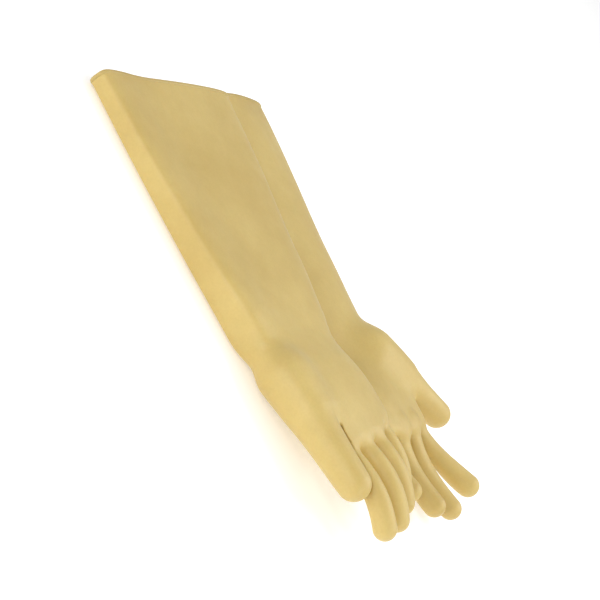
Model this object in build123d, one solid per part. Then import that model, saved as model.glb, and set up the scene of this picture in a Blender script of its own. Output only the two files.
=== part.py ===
from build123d import *
import os
from math import sin, cos, tan, radians, degrees, pi, sqrt, atan2

# ------------------------------------------------------------------
# Pair of long rubber insulating gloves, lying palm down side by side.
# Right glove far side (+Y), left glove near side (-Y) with its gauntlet
# lapped over the right one.  +X runs from the cuff mouths to the fingers,
# +Z is up, the table is z = 0.  Millimetres.
# ------------------------------------------------------------------

# ---- driving dimensions ------------------------------------------
WALL = 2.3            # rubber wall
BEAD_L = 4.0          # length of the rolled bead at the mouth
BEAD_T = 3.4          # bead thickness
CLEAR = 0.6           # running gap left round every flexing zone
WRIST_X = 262.0       # wrist line, from the mouth
WRIST_GAP = 15.0      # half length of the flexing wrist sleeve
N_EXP = 3.0           # squareness of the lying tube section
SINK = 0.3            # the underside is pressed flat on the table by this much

# gauntlet sections: distance from the mouth, half width, half height
GAUNTLET = [(0.0, 92.0, 11.5), (60.0, 87.5, 13.0), (120.0, 81.0, 14.5),
            (180.0, 73.0, 16.5), (225.0, 65.5, 18.5), (262.0, 59.5, 20.0)]
# palm sections in the hand frame: distance past the wrist, half width, half height, centre height
PALM = [(WRIST_GAP, 57.5, 19.5, 0.0), (38.0, 57.0, 18.5, 0.0), (64.0, 56.0, 16.5, 0.8),
        (86.0, 53.5, 14.0, 1.2), (99.0, 51.5, 12.0, 1.4), (111.0, 49.0, 10.6, 1.5)]
# finger stalls: base x, y, z in the hand frame, length of the centre line, spread angle
FINGERS = {"index": (110.0, 37.0, 0.0, 78.0, 4.0),
           "middle": (113.0, 12.0, 2.0, 86.0, 0.0),
           "ring": (110.0, -13.0, 1.0, 80.0, -3.0),
           "little": (101.0, -37.0, -2.0, 64.0, -7.0)}
R_ROOT = 10.2         # radius of a finger stall at its root knuckle
R_MID = 9.8           # at its middle knuckle
R_TIP = 10.4          # of its rounded tip
LITTLE_K = 0.92       # the little finger is slimmer
S_ROOT = 14.0         # arc length from the stall's base to its root knuckle, clear of the webs
K_MID = 0.54          # middle knuckle, as a share of the stall's length
# thumb: base point in the hand frame, length, arc lengths where its stall starts and bends, radii
THUMB_B = {"right": (28.0, 42.0, -3.0), "left": (28.0, 44.0, -4.0)}
THUMB_L = 104.0
THUMB_S = (36.0, 74.0)
THUMB_R = (15.2, 13.2, 12.6)

# lie of each glove on the table
LAP_SLOPE = 7.6       # slope of the left gauntlet where it lies on the right one, degrees
POSE = {
    "right": dict(s=1, x=0.0, y=0.0, yaw=1.0, roll=0.0, zw=20.3, dev=11.0, pitch=-1.0,
                  th0=-13.0, curl=-38.0, splay=1.6, tab=31.0, tpi=0.0),
    "left": dict(s=-1, x=12.0, y=-110.0, yaw=-1.2, roll=4.0, zw=22.5, dev=-7.0, pitch=10.0,
                 th0=4.0, curl=88.0, splay=1.0, tab=3.5, tpi=-14.5),
}
# centre of the whole pair, moved to the origin
OX, OY = -227.63, 37.88


# ---- placement arithmetic -----------------------------------------
def rot(axis, deg, v):
    c, s = cos(radians(deg)), sin(radians(deg))
    x, y, z = v
    if axis == "x":
        return (x, y * c - z * s, y * s + z * c)
    if axis == "y":
        return (x * c + z * s, y, -x * s + z * c)
    return (x * c - y * s, x * s + y * c, z)


def add(a, b):
    return tuple(p + q for p, q in zip(a, b))


def sub(a, b):
    return tuple(p - q for p, q in zip(a, b))


def mul(a, k):
    return tuple(p * k for p in a)


def unit(a):
    n = sqrt(sum(p * p for p in a))
    return tuple(p / n for p in a)


def glove_vec(g, v):
    """direction in the glove frame to the world"""
    return rot("z", POSE[g]["yaw"], (v[0], v[1] * POSE[g]["s"], v[2]))


def glove_pt(g, p):
    """point in the glove frame (x from the mouth, y to the thumb side) to the world"""
    q = POSE[g]
    x, y, z = rot("z", q["yaw"], (p[0] - 200.0, p[1] * q["s"], p[2]))
    return (x + 200.0 + q["x"] + OX, y + q["y"] + OY, z)


def hand_vec(g, v):
    q = POSE[g]
    v = (v[0], v[1] * q["s"], v[2])
    v = rot("y", -q["pitch"], v)
    v = rot("z", q["s"] * q["dev"], v)
    v = rot("x", q["roll"], v)
    return rot("z", q["yaw"], v)


def hand_pt(g, p):
    """point in the hand frame (x past the wrist, y to the thumb side) to the world"""
    o = glove_pt(g, (WRIST_X, 0.0, POSE[g]["zw"]))
    return add(o, hand_vec(g, p))


def finger_line(g, name):
    """centre line of a finger stall in the hand frame: points every millimetre"""
    q = POSE[g]
    bx, by, bz, length, spread = FINGERS[name]
    sp = radians(spread * q["splay"])
    pts = [(bx, by, bz)]
    n = int(length)
    for i in range(n):
        a = radians(q["th0"] - q["curl"] * (i + 0.5) / n)
        d = (cos(a) * cos(sp), cos(a) * sin(sp), sin(a))
        pts.append(add(pts[-1], mul(d, length / n)))
    return pts


def thumb_line(g):
    q = POSE[g]
    ab, tp = radians(q["tab"]), radians(q["tpi"])
    d = (cos(tp) * cos(ab), cos(tp) * sin(ab), sin(tp))
    return [add(THUMB_B[g], mul(d, float(i))) for i in range(int(THUMB_L) + 1)]


def digit(g, name):
    """knuckles and tip of a digit in the world, its radii there and the axis of its knuckles"""
    if name == "thumb":
        pts = thumb_line(g)
        s1, s2 = THUMB_S
        r = THUMB_R
        end = THUMB_L
        axis = mul(hand_vec(g, (0.0, 0.0, 1.0)), POSE[g]["s"])
    else:
        pts = finger_line(g, name)
        length = FINGERS[name][3]
        s1, s2, end = S_ROOT, length * K_MID, length
        k = LITTLE_K if name == "little" else 1.0
        r = (R_ROOT * k, R_MID * k, R_TIP * k)
        sp = radians(FINGERS[name][4] * POSE[g]["splay"])
        # lateral axis, always towards +Y, so a negative turn lifts the finger
        axis = mul(hand_vec(g, (-sin(sp), cos(sp), 0.0)), POSE[g]["s"])
    a, b, c = (hand_pt(g, pts[int(round(k))]) for k in (s1, s2, end))
    return dict(root=a, mid=b, tip=c, r=r, axis=axis)


DIGITS = ("thumb", "index", "middle", "ring", "little")
RANGE = {"wrist": (-30.0, 0.0), "finger_root": (-35.0, 0.0), "finger_tip": (-40.0, 0.0),
         "thumb_tip": {"right": (-20.0, 25.0), "left": (0.0, 30.0)}}

# ---- end of the arithmetic ----------------------------------------


def lerp(table, x):
    if x <= table[0][0]:
        return table[0][1:]
    for p, q in zip(table, table[1:]):
        if x <= q[0]:
            t = (x - p[0]) / (q[0] - p[0])
            return tuple(u + (v - u) * t for u, v in zip(p[1:], q[1:]))
    return table[-1][1:]


def smooth(t):
    t = min(1.0, max(0.0, t))
    return t * t * (3.0 - 2.0 * t)


LAP_START = 50.0      # the slope starts this far in from the near edge


def lie(g, x, y, a):
    """base height and squash of a gauntlet at local y (towards the thumb), half width a"""
    if g == "left":
        # near side (y > 0) lies on the table, far side rises over the other gauntlet
        u = (a - y) - LAP_START
        w = 16.0
        k = tan(radians(LAP_SLOPE))
        if u <= -w:
            return 0.0, 1.0
        if u >= w:
            return k * u, 1.0
        return k * (u + w) ** 2 / (4.0 * w), 1.0
    # right: the side under the other gauntlet is pressed flat
    e = y / a
    hi = 0.5 + 0.3 * smooth(x / 120.0)
    lo = 0.30 - 0.05 * smooth(x / 180.0)
    return 0.0, lo + (1.0 - lo) * smooth((e + 1.0) / (hi + 1.0))


def ring_of(a, b, n, mid, squash, wall, thin, count=36):
    """closed ring of (y, z) of a lying tube: half width a, half height b, squareness n.
    mid(y) gives the height of its middle and squash(y) its flattening.  With a wall it is
    the inside of that tube; thin is how far the inside keeps from a pressed edge."""
    pts = []
    ylo, yhi = -a + (max(wall, thin) if wall else 0.0), a - wall
    for i in range(count):
        t = 2.0 * pi * i / count
        c, s = cos(t), sin(t)
        y = (ylo + yhi) / 2.0 + (yhi - ylo) / 2.0 * (1 if c >= 0 else -1) * abs(c) ** (2.0 / n)
        q = (1 if s >= 0 else -1) * abs(s) ** (2.0 / n)
        if wall:
            h = b * squash(y) * max(0.0, 1.0 - abs(y / a) ** n) ** (1.0 / n)
            full = b * squash(y)
            h = min(full - wall, max(0.6, h + (full - h) * 0.35 - wall)) if full > wall + 0.6 else 0.5
            z = mid(y) + q * h
        else:
            z = mid(y) + q * b * squash(y)
        pts.append((y, z))
    return pts


def tube_ring(g, x, a, b, wall=0.0, grow=0.0):
    """ring of the gauntlet at x, as (y, z) in the glove frame"""
    a, b = a + grow, b + grow
    return ring_of(a, b, N_EXP, lambda y: lie(g, x, y, a)[0] + b * lie(g, x, y, a)[1] - (0.0 if grow else SINK),
                   lambda y: lie(g, x, y, a)[1], wall, 6.0 if g == "right" else 0.0)


def wire(points):
    return Wire([Edge.make_spline([Vector(*p) for p in points], periodic=True)])


def loft_rings(rings):
    return Solid.make_loft([wire(r) for r in rings])


def gauntlet_rings(g, xs, wall=0.0, grow=0.0):
    rings = []
    for x in xs:
        a, b = lerp(GAUNTLET, x)
        rings.append([glove_pt(g, (x, y, z)) for y, z in tube_ring(g, x, a, b, wall, grow)])
    return rings


def flat_under(shape):
    """the patch that lies on the table"""
    return shape - Pos(0, 0, -20) * Box(700, 700, 40)


def make_gauntlet(g):
    xs = [BEAD_L, 40.0, 80.0, 120.0, 160.0, 200.0, 225.0, WRIST_X - WRIST_GAP]
    outer = loft_rings(gauntlet_rings(g, xs))
    inner = loft_rings(gauntlet_rings(g, [BEAD_L - 2.0] + xs[1:-1] + [xs[-1] + 2.0], wall=WALL))
    return flat_under(outer - inner)


def make_bead(g):
    outer = loft_rings(gauntlet_rings(g, [0.0, BEAD_L], grow=0.8))
    inner = loft_rings(gauntlet_rings(g, [-1.0, BEAD_L + 1.0], wall=BEAD_T, grow=0.8))
    return outer - inner


def palm_ring(g, x, a, b, zc, wall=0.0):
    """ring of the palm at x in the hand frame, as world points"""
    def squash(y):
        if g == "left":
            return 1.0
        # the little-finger edge stays pressed low beside the other hand
        lo = 0.25 + 0.75 * smooth(x / 75.0)
        hi = 0.8 - 0.6 * smooth(x / 75.0)
        return lo + (1.0 - lo) * smooth((y / a + 1.0) / (hi + 1.0))
    ring = ring_of(a, b, 2.6, lambda y: zc - b + b * squash(y), squash, wall,
                   6.0 if g == "right" else 0.0)
    return [hand_pt(g, (x, y, z)) for y, z in ring]


def stall(a, b, ra, rb, back, front, round_tip, grow=0.0):
    """solid of revolution from point a to point b: a rounded start cut 'back' before a,
    then a taper to b, ending flat 'front' past b or in a round tip"""
    d = unit(sub(b, a))
    L = sqrt(sum(p * p for p in sub(b, a)))
    ra, rb = ra + grow, rb + grow
    a0 = sqrt(ra * ra - back * back)
    # profile in (t along the axis, r): build in the XZ plane, turn about X
    arc_mid = (-ra * sin(radians(45.0)) if back >= ra * 0.99 else -back / 2.0)
    rm = sqrt(ra * ra - arc_mid * arc_mid)
    pts = [(-back, 0.0), (-back, a0)]
    lines = [Line((-back, 0), (-back, a0)), ThreePointArc((-back, a0), (arc_mid, rm), (0.0, ra))]
    if round_tip:
        e = L
        lines.append(Line((0.0, ra), (e, rb)))
        k = sqrt(0.5)
        lines.append(ThreePointArc((e, rb), (e + rb * k, rb * k), (e + rb, 0.0)))
        lines.append(Line((e + rb, 0.0), (-back, 0.0)))
    else:
        e = L + front
        rr = ra + (rb - ra) * e / L
        lines.append(Line((0.0, ra), (e, rr)))
        lines.append(Line((e, rr), (e, 0.0)))
        lines.append(Line((e, 0.0), (-back, 0.0)))
    face = make_face(Curve() + lines)
    body = revolve(face, Axis.X, 360)
    plane = Plane(origin=a, x_dir=d, z_dir=side_dir(d))
    return plane.location * body


def side_dir(d):
    z = (0.0, 0.0, 1.0) if abs(d[2]) < 0.9 else (1.0, 0.0, 0.0)
    k = sum(p * q for p, q in zip(z, d))
    return unit(sub(z, mul(d, k)))


def make_segment(p, q, rp, rq, tip, back, gap):
    """hollow stall segment from knuckle p to q; gap is left free before knuckle q"""
    if tip:
        # the rounded end reaches q, so the centre of the tip ball is rq before it
        d = unit(sub(q, p))
        c = sub(q, mul(d, rq))
        outer = stall(p, c, rp, rq, back, 0.0, True)
        inner = stall(p, c, rp - WALL, rq - WALL, min(back + 1.0, (rp - WALL) * 0.9), 0.0, True)
        inner2 = stall(p, c, rp - WALL, rq - WALL, back, 0.0, True)
    else:
        outer = stall(p, q, rp, rq, back, -gap, False)
        inner = stall(p, q, rp - WALL, rq - WALL, min(back + 1.0, (rp - WALL) * 0.9), -gap + 1.0, False)
    return outer - inner


BACK = 3.0   # how far a segment reaches behind its own knuckle


def make_digit(g, name):
    q = digit(g, name)
    r0, r1, r2 = q["r"]
    root = make_segment(q["root"], q["mid"], r0, r1, False, BACK, r1 + CLEAR)
    tip = make_segment(q["mid"], q["tip"], r1, r2, True, BACK, 0.0)
    return root, tip


def turned(shape, point, axis, deg):
    return shape.rotate(Axis(point, axis), deg)


def make_palm(g):
    xs = [p[0] for p in PALM]
    outer = loft_rings([palm_ring(g, x, a, b, zc) for x, a, b, zc in PALM])
    ext = [(PALM[0][0] - 2.0,) + PALM[0][1:]] + PALM[1:-1] + [(PALM[-1][0] + 2.0,) + PALM[-1][1:]]
    inner = loft_rings([palm_ring(g, x, a, b, zc, WALL) for x, a, b, zc in ext])
    palm = outer - inner
    # the thumb leaves through the side
    t = digit(g, "thumb")
    palm = palm - stall(t["root"], t["mid"], t["r"][0], t["r"][1], BACK, 40.0, False, grow=CLEAR)
    # and a way for the thumb from the palm's inside
    back = sub(t["root"], mul(unit(sub(t["mid"], t["root"])), 24.0))
    way = stall(back, t["root"], t["r"][0] - WALL, t["r"][0] - WALL, 2.0, 6.0, False)
    palm = palm - way
    for f in ("index", "middle", "ring", "little"):
        q = digit(g, f)
        palm = palm - Pos(*q["root"]) * Sphere(q["r"][0] + CLEAR)
    solids = sorted(palm.solids(), key=lambda s: -s.volume)
    return solids[0]


def make_wrist(g):
    """flexing sleeve between the gauntlet's end and the palm"""
    xg = WRIST_X - WRIST_GAP
    x0, a0, b0, z0 = PALM[0]

    def rings(wall, ext):
        ga, gb = lerp(GAUNTLET, xg)
        first = [glove_pt(g, (xg - ext, y, z)) for y, z in tube_ring(g, xg, ga, gb, wall)]
        start = [glove_pt(g, (xg, y, z)) for y, z in tube_ring(g, xg, ga, gb, wall)]
        last = palm_ring(g, x0, a0, b0, z0, wall)
        past = palm_ring(g, x0 + ext, a0, b0, z0, wall)
        mid = [mul(add(p, q), 0.5) for p, q in zip(start, last)]
        out = [first if ext else start, mid, past if ext else last]
        if not wall:
            out = [[(px, py, max(pz, 0.12)) for px, py, pz in r] for r in out]
        return out
    return loft_rings(rings(0.0, 0.0)) - loft_rings(rings(WALL, 1.5))


def build(g):
    out = {}
    out[g + "_cuff_bead"] = make_bead(g)
    out[g + "_gauntlet"] = make_gauntlet(g)
    out[g + "_wrist"] = make_wrist(g)
    out[g + "_palm"] = make_palm(g)
    for name in DIGITS:
        root, tip = make_digit(g, name)
        out[g + "_" + name + "_root"] = root
        out[g + "_" + name + "_tip"] = tip
    return out


parts = {}
for glove in ("right", "left"):
    parts.update(build(glove))

os.makedirs("parts", exist_ok=True)
lo = [1e9] * 3
hi = [-1e9] * 3
for node, shape in parts.items():
    solids = shape.solids()
    part = solids[0] if len(solids) == 1 else Compound(children=list(solids))
    part.label = node
    export_step(part, "parts/" + node + ".step")
    bb = part.bounding_box()
    for i, (u, v) in enumerate(zip(tuple(bb.min), tuple(bb.max))):
        lo[i], hi[i] = min(lo[i], u), max(hi[i], v)
    print(f"{node:20s} solids {len(solids)} vol {sum(s.volume for s in solids):9.0f} "
          f"z {bb.min.Z:6.2f}..{bb.max.Z:6.2f}")
print("box", [round(v, 2) for v in lo], [round(v, 2) for v in hi])
print("centre", round((lo[0] + hi[0]) / 2, 3), round((lo[1] + hi[1]) / 2, 3))
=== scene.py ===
import math
import bmesh
import bpy
import numpy as np
from mathutils import Matrix, Vector


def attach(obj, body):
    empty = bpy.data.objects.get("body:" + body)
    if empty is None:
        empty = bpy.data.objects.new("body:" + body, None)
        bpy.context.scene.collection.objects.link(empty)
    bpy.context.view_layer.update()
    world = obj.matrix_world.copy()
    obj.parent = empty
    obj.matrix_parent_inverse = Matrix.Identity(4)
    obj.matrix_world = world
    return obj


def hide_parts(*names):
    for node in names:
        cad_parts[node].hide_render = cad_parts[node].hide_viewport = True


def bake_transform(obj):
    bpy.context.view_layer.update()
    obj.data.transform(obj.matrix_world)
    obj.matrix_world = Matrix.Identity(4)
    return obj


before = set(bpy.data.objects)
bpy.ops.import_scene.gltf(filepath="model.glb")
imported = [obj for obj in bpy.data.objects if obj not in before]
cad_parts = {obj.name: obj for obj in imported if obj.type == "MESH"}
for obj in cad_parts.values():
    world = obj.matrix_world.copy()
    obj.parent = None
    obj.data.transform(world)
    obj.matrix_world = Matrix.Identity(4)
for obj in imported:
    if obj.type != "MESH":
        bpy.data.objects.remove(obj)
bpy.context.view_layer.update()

# ------------------------------------------------------------------
# Pair of long dipped rubber gloves.  Each glove is one implicit surface
# (gauntlet tube, palm, five stalls, smoothly united), meshed as quads,
# pulled exactly onto the surface, given an inside 2.3 mm deeper, and cut
# at planes into the pieces that bend over the joints.
# Lengths in this part are millimetres, and become metres in the meshes.
# ------------------------------------------------------------------
WALL = 2.3
WRIST_X = 262.0
SINK = 0.3
N_EXP = 3.0
GAUNTLET = [(-20.0, 93.5, 11.2), (0.0, 92.0, 11.5), (60.0, 87.5, 13.0), (120.0, 81.0, 14.5),
            (180.0, 73.0, 16.5), (225.0, 65.5, 18.5), (262.0, 59.5, 20.0), (300.0, 57.0, 20.5)]
PALM = [(-30.0, 58.5, 20.2, 0.0), (15.0, 57.5, 19.5, 0.0), (38.0, 57.0, 18.5, 0.0), (64.0, 56.0, 16.5, 0.8),
        (86.0, 53.5, 14.0, 1.2), (99.0, 51.5, 12.0, 1.4), (111.0, 49.0, 10.6, 1.5), (125.0, 47.0, 9.4, 1.6)]
FINGERS = {"index": (110.0, 37.0, 0.0, 78.0, 4.0), "middle": (113.0, 12.0, 2.0, 86.0, 0.0),
           "ring": (110.0, -13.0, 1.0, 80.0, -3.0), "little": (101.0, -37.0, -2.0, 64.0, -7.0)}
LAP_SLOPE = 7.6
LAP_START = 50.0
POSE = {
    "right": dict(s=1, x=0.0, y=0.0, yaw=1.0, roll=0.0, zw=20.3, dev=11.0, pitch=2.0,
                  th0=-13.0, curl=-38.0, splay=1.6, tab=31.0, tpi=0.0),
    "left": dict(s=-1, x=12.0, y=-110.0, yaw=-1.2, roll=4.0, zw=22.5, dev=-10.5, pitch=13.5,
                 th0=4.0, curl=88.0, splay=1.0, tab=3.5, tpi=-14.5),
}
OX, OY = -227.63, 37.88
# how each stall lies: first pitch, curl, spread, drop of its base, length as drawn in by the curl
LIE = {
    "right": {"index": (-4.0, -24.0, 9.5, 0.0, 1.0), "middle": (-20.0, -34.0, 0.0, 0.0, 0.95),
              "ring": (-19.0, -34.0, -3.5, 0.0, 0.92), "little": (-16.0, -34.0, -7.0, 0.0, 0.92)},
    "left": {"index": (2.0, 46.0, 3.0, 7.0, 0.98), "middle": (1.0, 52.0, 0.5, 7.0, 0.86),
             "ring": (0.0, 54.0, -1.0, 6.5, 0.84), "little": (-2.0, 54.0, -3.0, 5.0, 0.88)},
}
THUMB = {"right": (28.0, 42.0, 0.5, 31.0, 2.0, 104.0), "left": (28.0, 46.5, 0.5, 7.0, -6.0, 117.0)}
THUMB_CUT = {"right": 76.0, "left": 67.0}
DIGITS = ("thumb", "index", "middle", "ring", "little")
S_ROOT = 14.0
S_THUMB = 74.0


def rot(axis, deg):
    c, s = math.cos(math.radians(deg)), math.sin(math.radians(deg))
    if axis == "x":
        return np.array([[1, 0, 0], [0, c, -s], [0, s, c]])
    if axis == "y":
        return np.array([[c, 0, s], [0, 1, 0], [-s, 0, c]])
    return np.array([[c, -s, 0], [s, c, 0], [0, 0, 1]])


class Frames:
    """The glove frame (x from the mouth, y to the thumb) and the hand frame (x past the wrist)."""

    def __init__(self, g):
        q = POSE[g]
        flip = np.diag([1.0, q["s"], 1.0])
        self.G = rot("z", q["yaw"]) @ flip
        self.g0 = np.array([200.0 + q["x"] + OX, q["y"] + OY, 0.0])
        self.H = rot("z", q["yaw"]) @ rot("x", q["roll"]) @ rot("z", q["s"] * q["dev"]) @ rot("y", -q["pitch"]) @ flip
        self.h0 = self.glove_out(np.array([[WRIST_X, 0.0, q["zw"]]]))[0]

    def glove_out(self, p):
        return (np.asarray(p, float) - [200.0, 0, 0]) @ self.G.T + self.g0

    def glove_in(self, p):
        return (np.asarray(p, float) - self.g0) @ self.G + [200.0, 0, 0]

    def hand_out(self, p):
        return np.asarray(p, float) @ self.H.T + self.h0

    def hand_in(self, p):
        return (np.asarray(p, float) - self.h0) @ self.H


def smooth(t):
    t = np.clip(t, 0.0, 1.0)
    return t * t * (3.0 - 2.0 * t)


def table(rows, col, x):
    """smoothed table look-up: the mean of five near look-ups rounds the kinks at the rows"""
    xs = [r[0] for r in rows]
    ys = [r[col] for r in rows]
    return sum(np.interp(x + d, xs, ys) for d in (-14.0, -7.0, 0.0, 7.0, 14.0)) / 5.0


def smin(a, b, k):
    h = np.clip(0.5 + 0.5 * (b - a) / k, 0.0, 1.0)
    return b + (a - b) * h - k * h * (1.0 - h)


def smax(a, b, k):
    return -smin(-a, -b, k)


def lie(g, x, y, a):
    if g == "left":
        u = (a - y) - LAP_START
        w = 16.0
        k = math.tan(math.radians(LAP_SLOPE))
        base = np.where(u <= -w, 0.0, np.where(u >= w, k * u, k * (u + w) ** 2 / (4.0 * w)))
        return base, np.ones_like(y)
    e = y / a
    hi = 0.5 + 0.3 * smooth(x / 120.0)
    lo = 0.30 - 0.05 * smooth(x / 180.0)
    k = 1.0 - 0.25 * smooth(x / 170.0)
    return np.zeros_like(y), k * (lo + (1.0 - lo) * smooth((e + 1.0) / (hi + 1.0)))


def section(y, z, a, b, mid, sq, n):
    return (np.abs(y / a) ** n + np.abs((z - mid) / (b * sq)) ** n) ** (1.0 / n)


def tube(g, P):
    x, y, z = P.T
    a, b = table(GAUNTLET, 1, x), table(GAUNTLET, 2, x)

    def val(yy, zz):
        base, sq = lie(g, x, yy, a)
        n = N_EXP
        if g == "left":
            # the near edge keeps a firm fold
            n = N_EXP + 2.6 * smooth((yy / a - 0.25) / 0.45)
        return section(yy, zz, a, b, base + b * sq - SINK, sq, n)
    e = 0.05
    v = val(y, z)
    gy, gz = (val(y + e, z) - v) / e, (val(y, z + e) - v) / e
    return (v - 1.0) / np.maximum(np.sqrt(gy * gy + gz * gz), 1e-3)


def palm(g, P):
    x, y, z = P.T
    a, b, zc = (table(PALM, i, x) for i in (1, 2, 3))
    if g == "left":
        zc = zc - 6.5 * smooth((x - 45.0) / 70.0)
    lo = 0.25 + 0.75 * smooth(x / 75.0)
    hi = 0.8 - 0.6 * smooth(x / 75.0)

    def val(yy, zz):
        flat = 0.75 + 0.25 * smooth((x - 10.0) / 80.0)
        sq = np.ones_like(yy) if g == "left" else flat * (lo + (1.0 - lo) * smooth((yy / a + 1.0) / (hi + 1.0)))
        return section(yy, zz, a, b, zc - b + b * sq, sq, 2.6)
    e = 0.05
    v = val(y, z)
    gy, gz = (val(y + e, z) - v) / e, (val(y, z + e) - v) / e
    f = (v - 1.0) / np.maximum(np.sqrt(gy * gy + gz * gz), 1e-3)
    # the knuckle end, lower towards the little finger
    end = 109.0 - 9.0 * smooth((-y - 12.0) / 26.0)
    return smax(f, x - end, 9.0)


def stall(g, name):
    bx, by, bz, length, _ = FINGERS[name]
    th0, curl, spread, drop, k = LIE[g][name]
    return bx, by, bz - drop, length * k, math.radians(th0), math.radians(curl), math.radians(spread)


def arc(g, name, P):
    """arc length along a stall and the offset from its centre line, in hand frame points"""
    bx, by, bz, length, t0, curl, sp = stall(g, name)
    dx, dy = P[:, 0] - bx, P[:, 1] - by
    X, Y, Z = dx * math.cos(sp) + dy * math.sin(sp), -dx * math.sin(sp) + dy * math.cos(sp), P[:, 2] - bz
    c = curl / length
    cx, cz = math.sin(t0) / c, -math.cos(t0) / c
    sg = 1.0 if c > 0 else -1.0
    vx, vz = (X - cx) * sg, (Z - cz) * sg
    ang = np.arctan2(-vx, vz)
    s = (t0 - ang) / c
    period = 2 * math.pi / abs(c)
    s = (s - length / 2 + period / 2) % period + length / 2 - period / 2
    return s, X, Y, Z, t0, c


def finger(g, name, P):
    length = stall(g, name)[3]
    s, X, Y, Z, t0, c = arc(g, name, P)
    k = 0.92 if name == "little" else 1.0
    rn_tip, rl_tip = 10.3 * k, 10.2 * k
    sc = np.clip(s, -14.0, length - 10.3 * k)
    a = t0 - c * sc
    px, pz = (math.sin(t0) - np.sin(a)) / c, (np.cos(a) - math.cos(t0)) / c
    ox, oz = X - px, Z - pz
    ot, on = ox * np.cos(a) + oz * np.sin(a), -ox * np.sin(a) + oz * np.cos(a)
    w = smooth(sc / (length * 0.82))
    root_n = {"right": 7.2, "left": 8.6}[g] * k
    rn = root_n + (rn_tip - root_n) * w
    rl = (9.3 + 0.9 * w) * k
    rt = rn_tip
    k0 = np.sqrt((ot / rt) ** 2 + (on / rn) ** 2 + (Y / rl) ** 2)
    k1 = np.sqrt((ot / rt ** 2) ** 2 + (on / rn ** 2) ** 2 + (Y / rl ** 2) ** 2)
    return k0 * (k0 - 1.0) / np.maximum(k1, 1e-6)


def thumb_dir(g):
    ab, tp = math.radians(THUMB[g][3]), math.radians(THUMB[g][4])
    return np.array([math.cos(tp) * math.cos(ab), math.cos(tp) * math.sin(ab), math.sin(tp)])


def thumb(g, P):
    d = thumb_dir(g)
    v = P - np.array(THUMB[g][:3])
    s = v @ d
    L = THUMB[g][5]
    sc = np.clip(s, 0.0, L - 12.6)
    rr = {"right": [22.0, 21.5, 19.0, 15.0, 13.4, 12.6], "left": [21.5, 20.5, 18.5, 16.4, 14.8, 13.0]}[g]
    r = sum(np.interp(sc + k, [0.0, 16.0, 40.0, 62.0, L - 14.0, L], rr) for k in (-8.0, 0.0, 8.0)) / 3.0
    off = v - sc[:, None] * d
    return np.sqrt((off ** 2).sum(1)) - r, s


def waves(p, seed):
    """slow unevenness of a dipped skin"""
    r = np.random.RandomState(seed)
    out = np.zeros(len(p))
    for _ in range(9):
        d = r.normal(size=3)
        d /= np.linalg.norm(d)
        out += np.sin(p @ d * 2 * math.pi / r.uniform(45.0, 120.0) + r.uniform(0, 6.28))
    return out / 9.0


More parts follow.
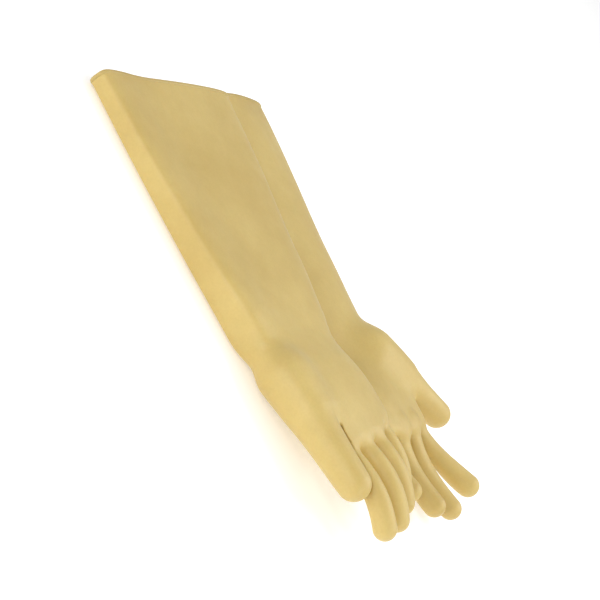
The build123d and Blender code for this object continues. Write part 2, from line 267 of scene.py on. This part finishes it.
class Glove:
    def __init__(self, g):
        self.g = g
        self.fr = Frames(g)

    def field(self, P):
        """signed distance, about, from the outside of the glove: P in the world, mm"""
        g = self.g
        A, B = self.fr.glove_in(P), self.fr.hand_in(P)
        w = smooth((A[:, 0] - 237.0) / 50.0)
        f = np.full(len(P), 50.0)
        m = w < 1.0
        t = np.full(len(P), 50.0)
        t[m] = tube(g, A[m])
        q = np.full(len(P), 50.0)
        n = w > 0.0
        q[n] = palm(g, B[n])
        f = np.where(m & n, t * (1 - w) + q * w, np.where(m, t, q))
        h = np.where(A[:, 0] > 230.0)[0]
        if len(h):
            Bh = B[h]
            stalls = None
            for name in DIGITS[1:]:
                d = finger(g, name, Bh)
                stalls = d if stalls is None else smin(stalls, d, 1.6)
            fh = smin(f[h], stalls, 6.5)
            th, sth = thumb(g, Bh)
            # the thenar joins the palm widely; the free stall lies beside it with a gap
            if g == "left":
                gap = np.interp(sth, [44.0, 57.0], [-14.0, 2.0])
                fh = np.where(sth > 44.0, smax(fh, gap - th, 1.0), fh)
                kk = np.interp(sth, [38.0, 57.0], [15.0, 0.6])
            else:
                kk = np.interp(sth, [38.0, 62.0], [24.0, 3.0])
            f[h] = smin(fh, th, kk)
        # slow waves, only above, and none where the other glove rests
        z = P[:, 2]
        amp = 0.8 * smooth((z - 14.0) / 12.0)
        if g == "right":
            amp = amp * smooth((A[:, 1] - 20.0) / 25.0)
        f = f + amp * waves(P, 3 if g == "left" else 8)
        return smax(f, 0.02 - z, 0.8)

    def normal(self, P):
        e = 0.25
        G = np.stack([self.field(P + d) - self.field(P - d) for d in np.eye(3) * e], 1) / (2 * e)
        L = np.sqrt((G ** 2).sum(1))
        return G / np.maximum(L, 1e-9)[:, None], L

    def surface(self, iso, h):
        lo, hi = np.array([1e9] * 3), np.array([-1e9] * 3)
        pts = [self.fr.glove_out([[x, y, z]])[0] for x in (-8.0, 260.0) for y in (-94.0, 94.0) for z in (0, 62.0)]
        pts += [self.fr.hand_out([[x, y, z]])[0] for x in (0.0, 200.0) for y in (-62.0, 62.0) for z in (-30.0, 24.0)]
        pts += [self.fr.hand_out([np.array(THUMB[self.g][:3]) + thumb_dir(self.g) * 118.0 + np.array([0, 15.0, 0])])[0]]
        pts = np.array(pts)
        lo, hi = pts.min(0) - 3, pts.max(0) + 3
        lo[2], hi[2] = -3.0 * h, 60.0
        dims = np.ceil((hi - lo) / h).astype(int) + 1
        ax = [lo[i] + h * np.arange(dims[i]) for i in range(3)]
        F = np.empty(dims)
        for i in range(0, dims[0], 16):
            X, Y, Z = np.meshgrid(ax[0][i:i + 16], ax[1], ax[2], indexing="ij")
            P = np.stack([X.ravel(), Y.ravel(), Z.ravel()], 1)
            F[i:i + 16] = (self.field(P) - iso).reshape(X.shape)
        V, Q = surface_net(F)
        V = V * h + lo
        # even the quads, then put each vertex on the surface
        E = np.concatenate([Q[:, [0, 1]], Q[:, [1, 2]], Q[:, [2, 3]], Q[:, [3, 0]]])
        cnt = np.bincount(E[:, 0], minlength=len(V)) + np.bincount(E[:, 1], minlength=len(V))
        for _ in range(3):
            acc = np.stack([np.bincount(E[:, 0], V[E[:, 1], i], len(V)) + np.bincount(E[:, 1], V[E[:, 0], i], len(V))
                            for i in range(3)], 1)
            V = 0.5 * V + 0.5 * acc / np.maximum(cnt, 1)[:, None]
            for _ in range(2):
                n, L = self.normal(V)
                step = np.clip((self.field(V) - iso) / np.maximum(L, 0.3), -1.0, 1.0)
                V = V - n * step[:, None]
        return V, Q


def surface_net(F):
    """one vertex in each crossed cell, one quad round each crossed edge"""
    shape = np.array(F.shape)
    cells = tuple(shape - 1)
    key, pos, quads = [], [], []
    for ax in range(3):
        a, b = [slice(None)] * 3, [slice(None)] * 3
        a[ax], b[ax] = slice(0, -1), slice(1, None)
        A, B = F[tuple(a)], F[tuple(b)]
        e = np.argwhere((A < 0) != (B < 0))
        va, vb = A[tuple(e.T)], B[tuple(e.T)]
        u, v = (ax + 1) % 3, (ax + 2) % 3
        ok = (e[:, u] > 0) & (e[:, v] > 0) & (e[:, u] < shape[u] - 1) & (e[:, v] < shape[v] - 1)
        e, va, vb = e[ok], va[ok], vb[ok]
        p = e.astype(float)
        p[:, ax] += va / (va - vb)
        ring = []
        for du, dv in ((0, 0), (-1, 0), (-1, -1), (0, -1)):
            c = e.copy()
            c[:, u] += du
            c[:, v] += dv
            ring.append(c)
        ring = np.stack(ring, 1)
        k = np.ravel_multi_index(tuple(ring.reshape(-1, 3).T), cells).reshape(-1, 4)
        key.append(k.ravel().copy())
        pos.append(np.repeat(p, 4, 0))
        k[va >= 0] = k[va >= 0][:, ::-1]
        quads.append(k)
    key, pos, q = np.concatenate(key), np.concatenate(pos), np.concatenate(quads)
    ids, inv = np.unique(key, return_inverse=True)
    n = np.bincount(inv)
    V = np.stack([np.bincount(inv, pos[:, i]) / n for i in range(3)], 1)
    return V, np.searchsorted(ids, q)


# ---- cutting the skin into the pieces that bend --------------------
def line_at(gl, name, s):
    """point and direction on a stall's centre line, in the world"""
    g = gl.g
    if name == "thumb":
        d = thumb_dir(g)
        return gl.fr.hand_out([np.array(THUMB[g][:3]) + d * s])[0], gl.fr.H @ d
    bx, by, bz, length, t0, curl, sp = stall(g, name)
    c = curl / length
    a = t0 - c * s
    X, Z = (math.sin(t0) - math.sin(a)) / c, (math.cos(a) - math.cos(t0)) / c
    p = np.array([bx + X * math.cos(sp), by + X * math.sin(sp), bz + Z])
    d = np.array([math.cos(a) * math.cos(sp), math.cos(a) * math.sin(sp), math.sin(a)])
    return gl.fr.hand_out([p])[0], gl.fr.H @ d


def mid_knuckle(name):
    return float(round(FINGERS[name][3] * 0.54))


def cuts(gl):
    """name of the piece beyond the cut: digit, arc length, plane point, plane normal"""
    out = []
    for name in DIGITS[1:]:
        out.append((name + "_root", name, 7.0) + line_at(gl, name, 7.0))
        s = mid_knuckle(name) - 12.0
        out.append((name + "_tip", name, s) + line_at(gl, name, s))
    s = THUMB_CUT[gl.g]
    out.append(("thumb_tip", "thumb", s) + line_at(gl, "thumb", s))
    return out


def near_digit(gl, name, B):
    """arc length along a digit and distance from its centre line, for hand frame points"""
    if name == "thumb":
        d = thumb_dir(gl.g)
        v = B - np.array(THUMB[gl.g][:3])
        sc = np.clip(v @ d, 0.0, THUMB[gl.g][5])
        return sc, np.sqrt(((v - sc[:, None] * d) ** 2).sum(1))
    s, X, Y, Z, t0, c = arc(gl.g, name, B)
    sc = np.clip(s, -10.0, stall(gl.g, name)[3])
    a = t0 - c * sc
    px, pz = (math.sin(t0) - np.sin(a)) / c, (np.cos(a) - math.cos(t0)) / c
    return sc, np.sqrt((X - px) ** 2 + (Z - pz) ** 2 + Y ** 2)


def digit_of(gl, P):
    """nearest digit, arc length along it and distance from its centre line, for world points"""
    B = gl.fr.hand_in(P)
    best, which, along = np.full(len(P), 1e9), np.full(len(P), -1), np.zeros(len(P))
    for i, name in enumerate(DIGITS):
        sc, dist = near_digit(gl, name, B)
        m = dist < best
        best[m], which[m], along[m] = dist[m], i, sc[m]
    return which, along, best


WRIST_CUT = 31.0


def pieces_of(gl):
    """{piece: bmesh} of one glove, cut from the outer and inner skins, in mm"""
    g = gl.g
    bm = bmesh.new()
    for iso, h, inner in ((0.0, 1.75, False), (-WALL, 2.6, True)):
        V, Q = gl.surface(iso, h)
        vs = [bm.verts.new(v) for v in V]
        for q in Q:
            if inner:
                q = q[::-1]
            bm.faces.new([vs[i] for i in q])
    skin = bm.faces.layers.int.new("skin")
    cutter = cuts(gl)
    # the mouth, under the bead
    mp, mn = gl.fr.glove_out([[2.0, 0, 0]])[0], gl.fr.G[:, 0]
    bmesh.ops.bisect_plane(bm, geom=bm.verts[:] + bm.edges[:] + bm.faces[:], dist=1e-4, plane_co=mp, plane_no=mn,
                           clear_inner=True)
    wp, wn = gl.fr.hand_out([[WRIST_CUT, 0, 0]])[0], gl.fr.H[:, 0]
    planes = [("hand", wp, wn)] + [(c[0], c[3], c[4]) for c in cutter]
    cut_edges = set()
    r = bmesh.ops.bisect_plane(bm, geom=bm.verts[:] + bm.edges[:] + bm.faces[:], dist=1e-4, plane_co=wp, plane_no=wn)
    cut_edges.update(e for e in r["geom_cut"] if isinstance(e, bmesh.types.BMEdge))
    for piece, name, s, p, n in cutter:
        cen = np.array([f.calc_center_median() for f in bm.faces])
        along, dist = near_digit(gl, name, gl.fr.hand_in(cen))
        m = (np.abs(along - s) < 7.0) & (dist < (18.2 if name == "thumb" else 12.6))
        sel = [f for f, k in zip(bm.faces, m) if k]
        es, vv = set(), set()
        for f in sel:
            es.update(f.edges)
            vv.update(f.verts)
        r = bmesh.ops.bisect_plane(bm, geom=list(vv) + list(es) + sel, dist=1e-4, plane_co=Vector(p), plane_no=Vector(n))
        cut_edges.update(e for e in r["geom_cut"] if isinstance(e, bmesh.types.BMEdge))
    cut_edges = [e for e in cut_edges if e.is_valid]
    bmesh.ops.split_edges(bm, edges=cut_edges)
    # islands, each named by where it lies
    seen, groups = set(), {}
    bm.faces.index_update()
    for f0 in bm.faces:
        if f0.index in seen:
            continue
        stack, isle = [f0], []
        seen.add(f0.index)
        while stack:
            f = stack.pop()
            isle.append(f)
            for e in f.edges:
                for o in e.link_faces:
                    if o.index not in seen:
                        seen.add(o.index)
                        stack.append(o)
        cen = np.array([f.calc_center_median() for f in isle])
        hx = gl.fr.hand_in(cen)[:, 0]
        which, along, dist = digit_of(gl, cen)
        if hx.mean() < WRIST_CUT and hx.max() < WRIST_CUT + 1.0:
            key = "gauntlet"
        elif len(isle) > 3000 or hx.min() < WRIST_CUT + 2.0:
            key = "hand"
        else:
            i = int(np.bincount(which).argmax())
            name = DIGITS[i]
            tal, tdist = near_digit(gl, "thumb", gl.fr.hand_in(cen))
            if tdist.mean() < 19.0 and tal.min() > THUMB_CUT[g] - 4.0:
                name = "thumb"
            if name == "thumb":
                key = "thumb_tip"
            else:
                key = name + ("_tip" if along.max() > mid_knuckle(name) + 5.0 else "_root")
        groups.setdefault(key, []).append(isle)
    out = {}
    for key, isles in groups.items():
        out[key] = [f for isle in isles for f in isle]
        print(gl.g, key, "islands", [len(i) for i in isles])
    return bm, out, planes, (mp, mn)


def make_object(gl, name, faces, planes, material):
    """a closed piece: its faces, and a cap across the wall at each cut; metres"""
    bm = bmesh.new()
    vmap = {}
    for f in faces:
        vs = []
        for v in f.verts:
            if v not in vmap:
                vmap[v] = bm.verts.new(v.co)
            vs.append(vmap[v])
        bm.faces.new(vs)
    cap = bm.faces.layers.int.new("cap")
    rim = [e for e in bm.edges if len(e.link_faces) == 1]
    left = set(rim)
    for label, p, n in planes:
        p, n = Vector(p), Vector(n)
        es = [e for e in left if all(abs((v.co - p).dot(n)) < 0.02 for v in e.verts)]
        # only the loops near this plane's own digit
        if label not in ("hand", "mouth"):
            es = [e for e in es if (e.verts[0].co - p).length < 26.0]
        if not es:
            continue
        before = set(bm.faces)
        bmesh.ops.triangle_fill(bm, use_beauty=True, use_dissolve=False, edges=es, normal=n)
        for f in bm.faces:
            if f not in before:
                f[cap] = 1
        left -= set(es)
    bmesh.ops.recalc_face_normals(bm, faces=[f for f in bm.faces if f[cap] == 1])
    open_edges = sum(1 for e in bm.edges if len(e.link_faces) != 2)
    # turn caps to match their neighbours
    for f in bm.faces:
        if f[cap] == 1:
            for e in f.edges:
                o = [x for x in e.link_faces if x != f and x[cap] == 0]
                if o:
                    lf = [l for l in e.link_loops if l.face == f][0]
                    lo = [l for l in e.link_loops if l.face == o[0]][0]
                    if lf.vert == lo.vert:
                        f.normal_flip()
                    break
    bm.normal_update()
    caps = [f[cap] for f in bm.faces]
    mesh = bpy.data.meshes.new(name)
    bm.to_mesh(mesh)
    bm.free()
    co = np.zeros(len(mesh.vertices) * 3)
    mesh.vertices.foreach_get("co", co)
    co = co.reshape(-1, 3)
    nrm, _ = gl.normal(co)
    mesh.vertices.foreach_set("co", (co / 1000.0).ravel())
    mesh.shade_smooth()
    # split normals: the surface's own on the skin, flat on the caps
    flip = np.zeros(len(mesh.loops), int)
    loop_v = np.zeros(len(mesh.loops), int)
    mesh.loops.foreach_get("vertex_index", loop_v)
    LN = nrm[loop_v]
    for poly, c in zip(mesh.polygons, caps):
        i, j = poly.loop_start, poly.loop_start + poly.loop_total
        pn = np.array(poly.normal)
        if c:
            LN[i:j] = pn
        elif (LN[i:j] @ pn).mean() < 0:
            LN[i:j] *= -1.0
    mesh.normals_split_custom_set([tuple(v) for v in LN])
    mesh.materials.append(material)
    ob = bpy.data.objects.new(name, mesh)
    bpy.context.scene.collection.objects.link(ob)
    print(name, len(mesh.polygons), "open edges", open_edges)
    return ob


def make_bead(gl, material):
    """rolled rim of the mouth: a rounded bead swept round the mouth's outline"""
    g = gl.g
    x = 2.0
    a, b = float(table(GAUNTLET, 1, np.array([x]))[0]), float(table(GAUNTLET, 2, np.array([x]))[0])
    m = 260
    t = np.linspace(0, 2 * math.pi, m, endpoint=False)
    c, s = np.cos(t), np.sin(t)
    y = a * np.sign(c) * np.abs(c) ** (2 / N_EXP)
    base, sq = lie(g, np.full(m, x), y, np.full(m, a))
    z = base + b * sq - SINK + np.sign(s) * np.abs(s) ** (2 / N_EXP) * b * sq
    # even spacing along the outline
    pts = np.stack([y, z], 1)
    seg = np.sqrt(((np.roll(pts, -1, 0) - pts) ** 2).sum(1))
    cum = np.concatenate([[0], np.cumsum(seg)])
    u = np.linspace(0, cum[-1], m, endpoint=False)
    y = np.interp(u, cum, np.append(pts[:, 0], pts[0, 0]))
    z = np.interp(u, cum, np.append(pts[:, 1], pts[0, 1]))
    P = gl.fr.glove_out(np.stack([np.full(m, x), y, z], 1))
    ax = gl.fr.G[:, 0]
    for _ in range(3):
        n, L = gl.normal(P)
        P = P - n * (gl.field(P) / np.maximum(L, 0.3))[:, None]
    n, _ = gl.normal(P)
    n = n - (n @ ax)[:, None] * ax
    n /= np.sqrt((n ** 2).sum(1))[:, None]
    k = 14
    th = np.linspace(0, 2 * math.pi, k, endpoint=False)
    verts = []
    for i in range(m):
        for q in th:
            cx = np.sign(np.cos(q)) * abs(np.cos(q)) ** 0.8
            sx = np.sign(np.sin(q)) * abs(np.sin(q)) ** 0.8
            v = P[i] + ax * (-0.1 + 2.1 * cx) + n[i] * (-1.0 + 1.75 * sx)
            v = np.array([v[0], v[1], max(v[2], 0.0)])
            verts.append(v / 1000.0)
    faces = [(i * k + j, i * k + (j + 1) % k, ((i + 1) % m) * k + (j + 1) % k, ((i + 1) % m) * k + j)
             for i in range(m) for j in range(k)]
    mesh = bpy.data.meshes.new(g + "_bead_skin")
    mesh.from_pydata([tuple(v) for v in verts], [], faces)
    bm = bmesh.new()
    bm.from_mesh(mesh)
    bmesh.ops.recalc_face_normals(bm, faces=bm.faces[:])
    bm.to_mesh(mesh)
    bm.free()
    mesh.shade_smooth()
    mesh.materials.append(material)
    ob = bpy.data.objects.new(g + "_bead_skin", mesh)
    bpy.context.scene.collection.objects.link(ob)
    return ob


# ---- materials -------------------------------------------------------
def latex(name, tint=1.0):
    mat = bpy.data.materials.new(name)
    mat.use_nodes = True
    nt = mat.node_tree
    b = nt.nodes["Principled BSDF"]
    b.inputs["Subsurface Weight"].default_value = 0.18
    b.inputs["Subsurface Radius"].default_value = (1.0, 0.55, 0.18)
    b.inputs["Subsurface Scale"].default_value = 0.0035
    b.inputs["Specular IOR Level"].default_value = 0.42
    b.inputs["Sheen Weight"].default_value = 0.06
    b.inputs["Sheen Roughness"].default_value = 0.5
    tc = nt.nodes.new("ShaderNodeTexCoord")

    def noise(scale, detail, rough=0.5):
        n = nt.nodes.new("ShaderNodeTexNoise")
        n.inputs["Scale"].default_value = scale
        n.inputs["Detail"].default_value = detail
        n.inputs["Roughness"].default_value = rough
        nt.links.new(tc.outputs["Object"], n.inputs["Vector"])
        return n.outputs["Fac"]

    def ramp(fac, stops):
        r = nt.nodes.new("ShaderNodeValToRGB")
        els = r.color_ramp.elements
        els[0].position, els[0].color = stops[0][0], stops[0][1]
        els[1].position, els[1].color = stops[1][0], stops[1][1]
        for p, c in stops[2:]:
            e = els.new(p)
            e.color = c
        nt.links.new(fac, r.inputs["Fac"])
        return r.outputs["Color"]
    # tint scales the base colour; the rim's tint of 0.86 is painted shade
    k = tint
    broad = ramp(noise(11.0, 3.0), [(0.32, (0.585 * k, 0.425 * k, 0.136 * k, 1)), (0.70, (0.665 * k, 0.505 * k, 0.180 * k, 1))])
    fine = ramp(noise(520.0, 4.0, 0.65), [(0.30, (0.955, 0.945, 0.92, 1)), (0.62, (1, 1, 1, 1))])
    mid = ramp(noise(70.0, 4.0, 0.6), [(0.35, (0.965, 0.955, 0.93, 1)), (0.65, (1.0, 1.0, 1.0, 1))])

    def multiply(a, c):
        m = nt.nodes.new("ShaderNodeMix")
        m.data_type = "RGBA"
        m.blend_type = "MULTIPLY"
        m.inputs["Factor"].default_value = 1.0
        nt.links.new(a, m.inputs[6])
        nt.links.new(c, m.inputs[7])
        return m.outputs[2]
    nt.links.new(multiply(multiply(broad, fine), mid), b.inputs["Base Color"])
    mr = nt.nodes.new("ShaderNodeMapRange")
    mr.inputs["From Min"].default_value = 0.3
    mr.inputs["From Max"].default_value = 0.7
    mr.inputs["To Min"].default_value = 0.40
    mr.inputs["To Max"].default_value = 0.54
    nt.links.new(noise(38.0, 5.0, 0.6), mr.inputs["Value"])
    nt.links.new(mr.outputs["Result"], b.inputs["Roughness"])
    b1 = nt.nodes.new("ShaderNodeBump")
    b1.inputs["Strength"].default_value = 0.25
    b1.inputs["Distance"].default_value = 0.0009
    nt.links.new(noise(46.0, 3.0, 0.5), b1.inputs["Height"])
    b2 = nt.nodes.new("ShaderNodeBump")
    b2.inputs["Strength"].default_value = 0.18
    b2.inputs["Distance"].default_value = 0.00012
    nt.links.new(noise(900.0, 3.0, 0.6), b2.inputs["Height"])
    nt.links.new(b1.outputs["Normal"], b2.inputs["Normal"])
    nt.links.new(b2.outputs["Normal"], b.inputs["Normal"])
    return mat


skin_mat = latex("natural_latex")
# the rim's colour is the skin's at 0.86: painted shade for the dark line along the mouth's edge
rim_painted_shade_mat = latex("natural_latex_rim_painted_shade", 0.86)

# ---- the gloves ------------------------------------------------------
mm = 0.001
for g in ("right", "left"):
    gl = Glove(g)
    bm, groups, planes, (mp, mn) = pieces_of(gl)
    planes = planes + [("mouth", mp, mn)]
    obs = {key: make_object(gl, g + "_" + key + "_skin", faces, planes, skin_mat) for key, faces in groups.items()}
    bm.free()
    zw = POSE[g]["zw"]
    wa = gl.fr.glove_out([[240.0, 0, zw]])[0] * mm
    wb = gl.fr.hand_out([[22.0, 0, 0]])[0] * mm
    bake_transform(obs["gauntlet"])
    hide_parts(g + "_gauntlet", g + "_wrist")
    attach(obs["hand"], g + "_hand_body")
    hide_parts(g + "_palm", g + "_thumb_root")
    # the bead takes the darker rim material, painted shade along the mouth's edge
    bead = make_bead(gl, rim_painted_shade_mat)
    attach(bead, g + "_gauntlet_body")
    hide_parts(g + "_cuff_bead")
    for name in DIGITS:
        if name != "thumb":
            a, b = (line_at(gl, name, s)[0] * mm for s in (9.0, 20.0))
            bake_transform(obs[name + "_root"])
            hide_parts(f"{g}_{name}_root")
            k = mid_knuckle(name)
            a, b = (line_at(gl, name, s)[0] * mm for s in (k - 9.0, k + 9.0))
            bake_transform(obs[name + "_tip"])
        else:
            k = THUMB_CUT[g]
            a, b = (line_at(gl, name, s)[0] * mm for s in (k + 2.0, max(k + 13.0, 84.0)))
            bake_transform(obs[name + "_tip"])
        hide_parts(f"{g}_{name}_tip")

# ---- floor, light, camera -----------------------------------------
bpy.ops.mesh.primitive_plane_add(size=6.0, location=(0, 0, -0.0004))
floor = bpy.context.object
floor.name = "floor"
fm = bpy.data.materials.new("floor_white")
fm.use_nodes = True
fb = fm.node_tree.nodes["Principled BSDF"]
fb.inputs["Base Color"].default_value = (0.93, 0.93, 0.93, 1)
fb.inputs["Roughness"].default_value = 0.9
fb.inputs["Specular IOR Level"].default_value = 0.1
fb.inputs["Emission Color"].default_value = (1, 1, 1, 1)
fb.inputs["Emission Strength"].default_value = 0.35
floor.data.materials.append(fm)

world = bpy.data.worlds.new("studio")
world.use_nodes = True
world.node_tree.nodes["Background"].inputs["Color"].default_value = (1, 1, 1, 1)
world.node_tree.nodes["Background"].inputs["Strength"].default_value = 0.465
bpy.context.scene.world = world


def area(name, loc, target, size, power):
    d = bpy.data.lights.new(name, "AREA")
    d.shape = "SQUARE"
    d.size = size
    d.energy = power
    o = bpy.data.objects.new(name, d)
    o.location = loc
    o.rotation_euler = (Vector(target) - Vector(loc)).to_track_quat("-Z", "Y").to_euler()
    bpy.context.scene.collection.objects.link(o)
    return o


area("key", (-0.3, -1.9, 0.75), (0, 0, 0.02), 1.4, 19.0)
area("top", (0.5, 1.0, 1.5), (0, 0, 0.02), 1.6, 21.0)
area("side", (1.7, -0.2, 0.9), (0.15, 0, 0.02), 1.0, 7.0)

AZ, EL, ROLL = 16.5, 23.0, 57.5
F_PX, DIST = 1802.0, 1600.0
TARGET = (-4.2, 6.7, 15.6)
az, el, ro = (math.radians(v) for v in (AZ, EL, ROLL))
back = np.array([math.sin(az) * math.cos(el), -math.cos(az) * math.cos(el), math.sin(el)])
right = np.array([math.cos(az), math.sin(az), 0.0])
up = np.cross(back, right)
right, up = right * math.cos(ro) + up * math.sin(ro), -right * math.sin(ro) + up * math.cos(ro)
pos = np.array(TARGET) + back * DIST
cam_data = bpy.data.cameras.new("camera")
cam_data.sensor_width = 36.0
cam_data.lens = F_PX / 600.0 * 36.0
cam_data.clip_end = 20.0
cam = bpy.data.objects.new("camera", cam_data)
M = Matrix([[right[i], up[i], back[i], pos[i] * mm] for i in range(3)] + [[0, 0, 0, 1]])
cam.matrix_world = M
bpy.context.scene.collection.objects.link(cam)
bpy.context.scene.camera = cam
bpy.context.scene.view_settings.view_transform = "Standard"
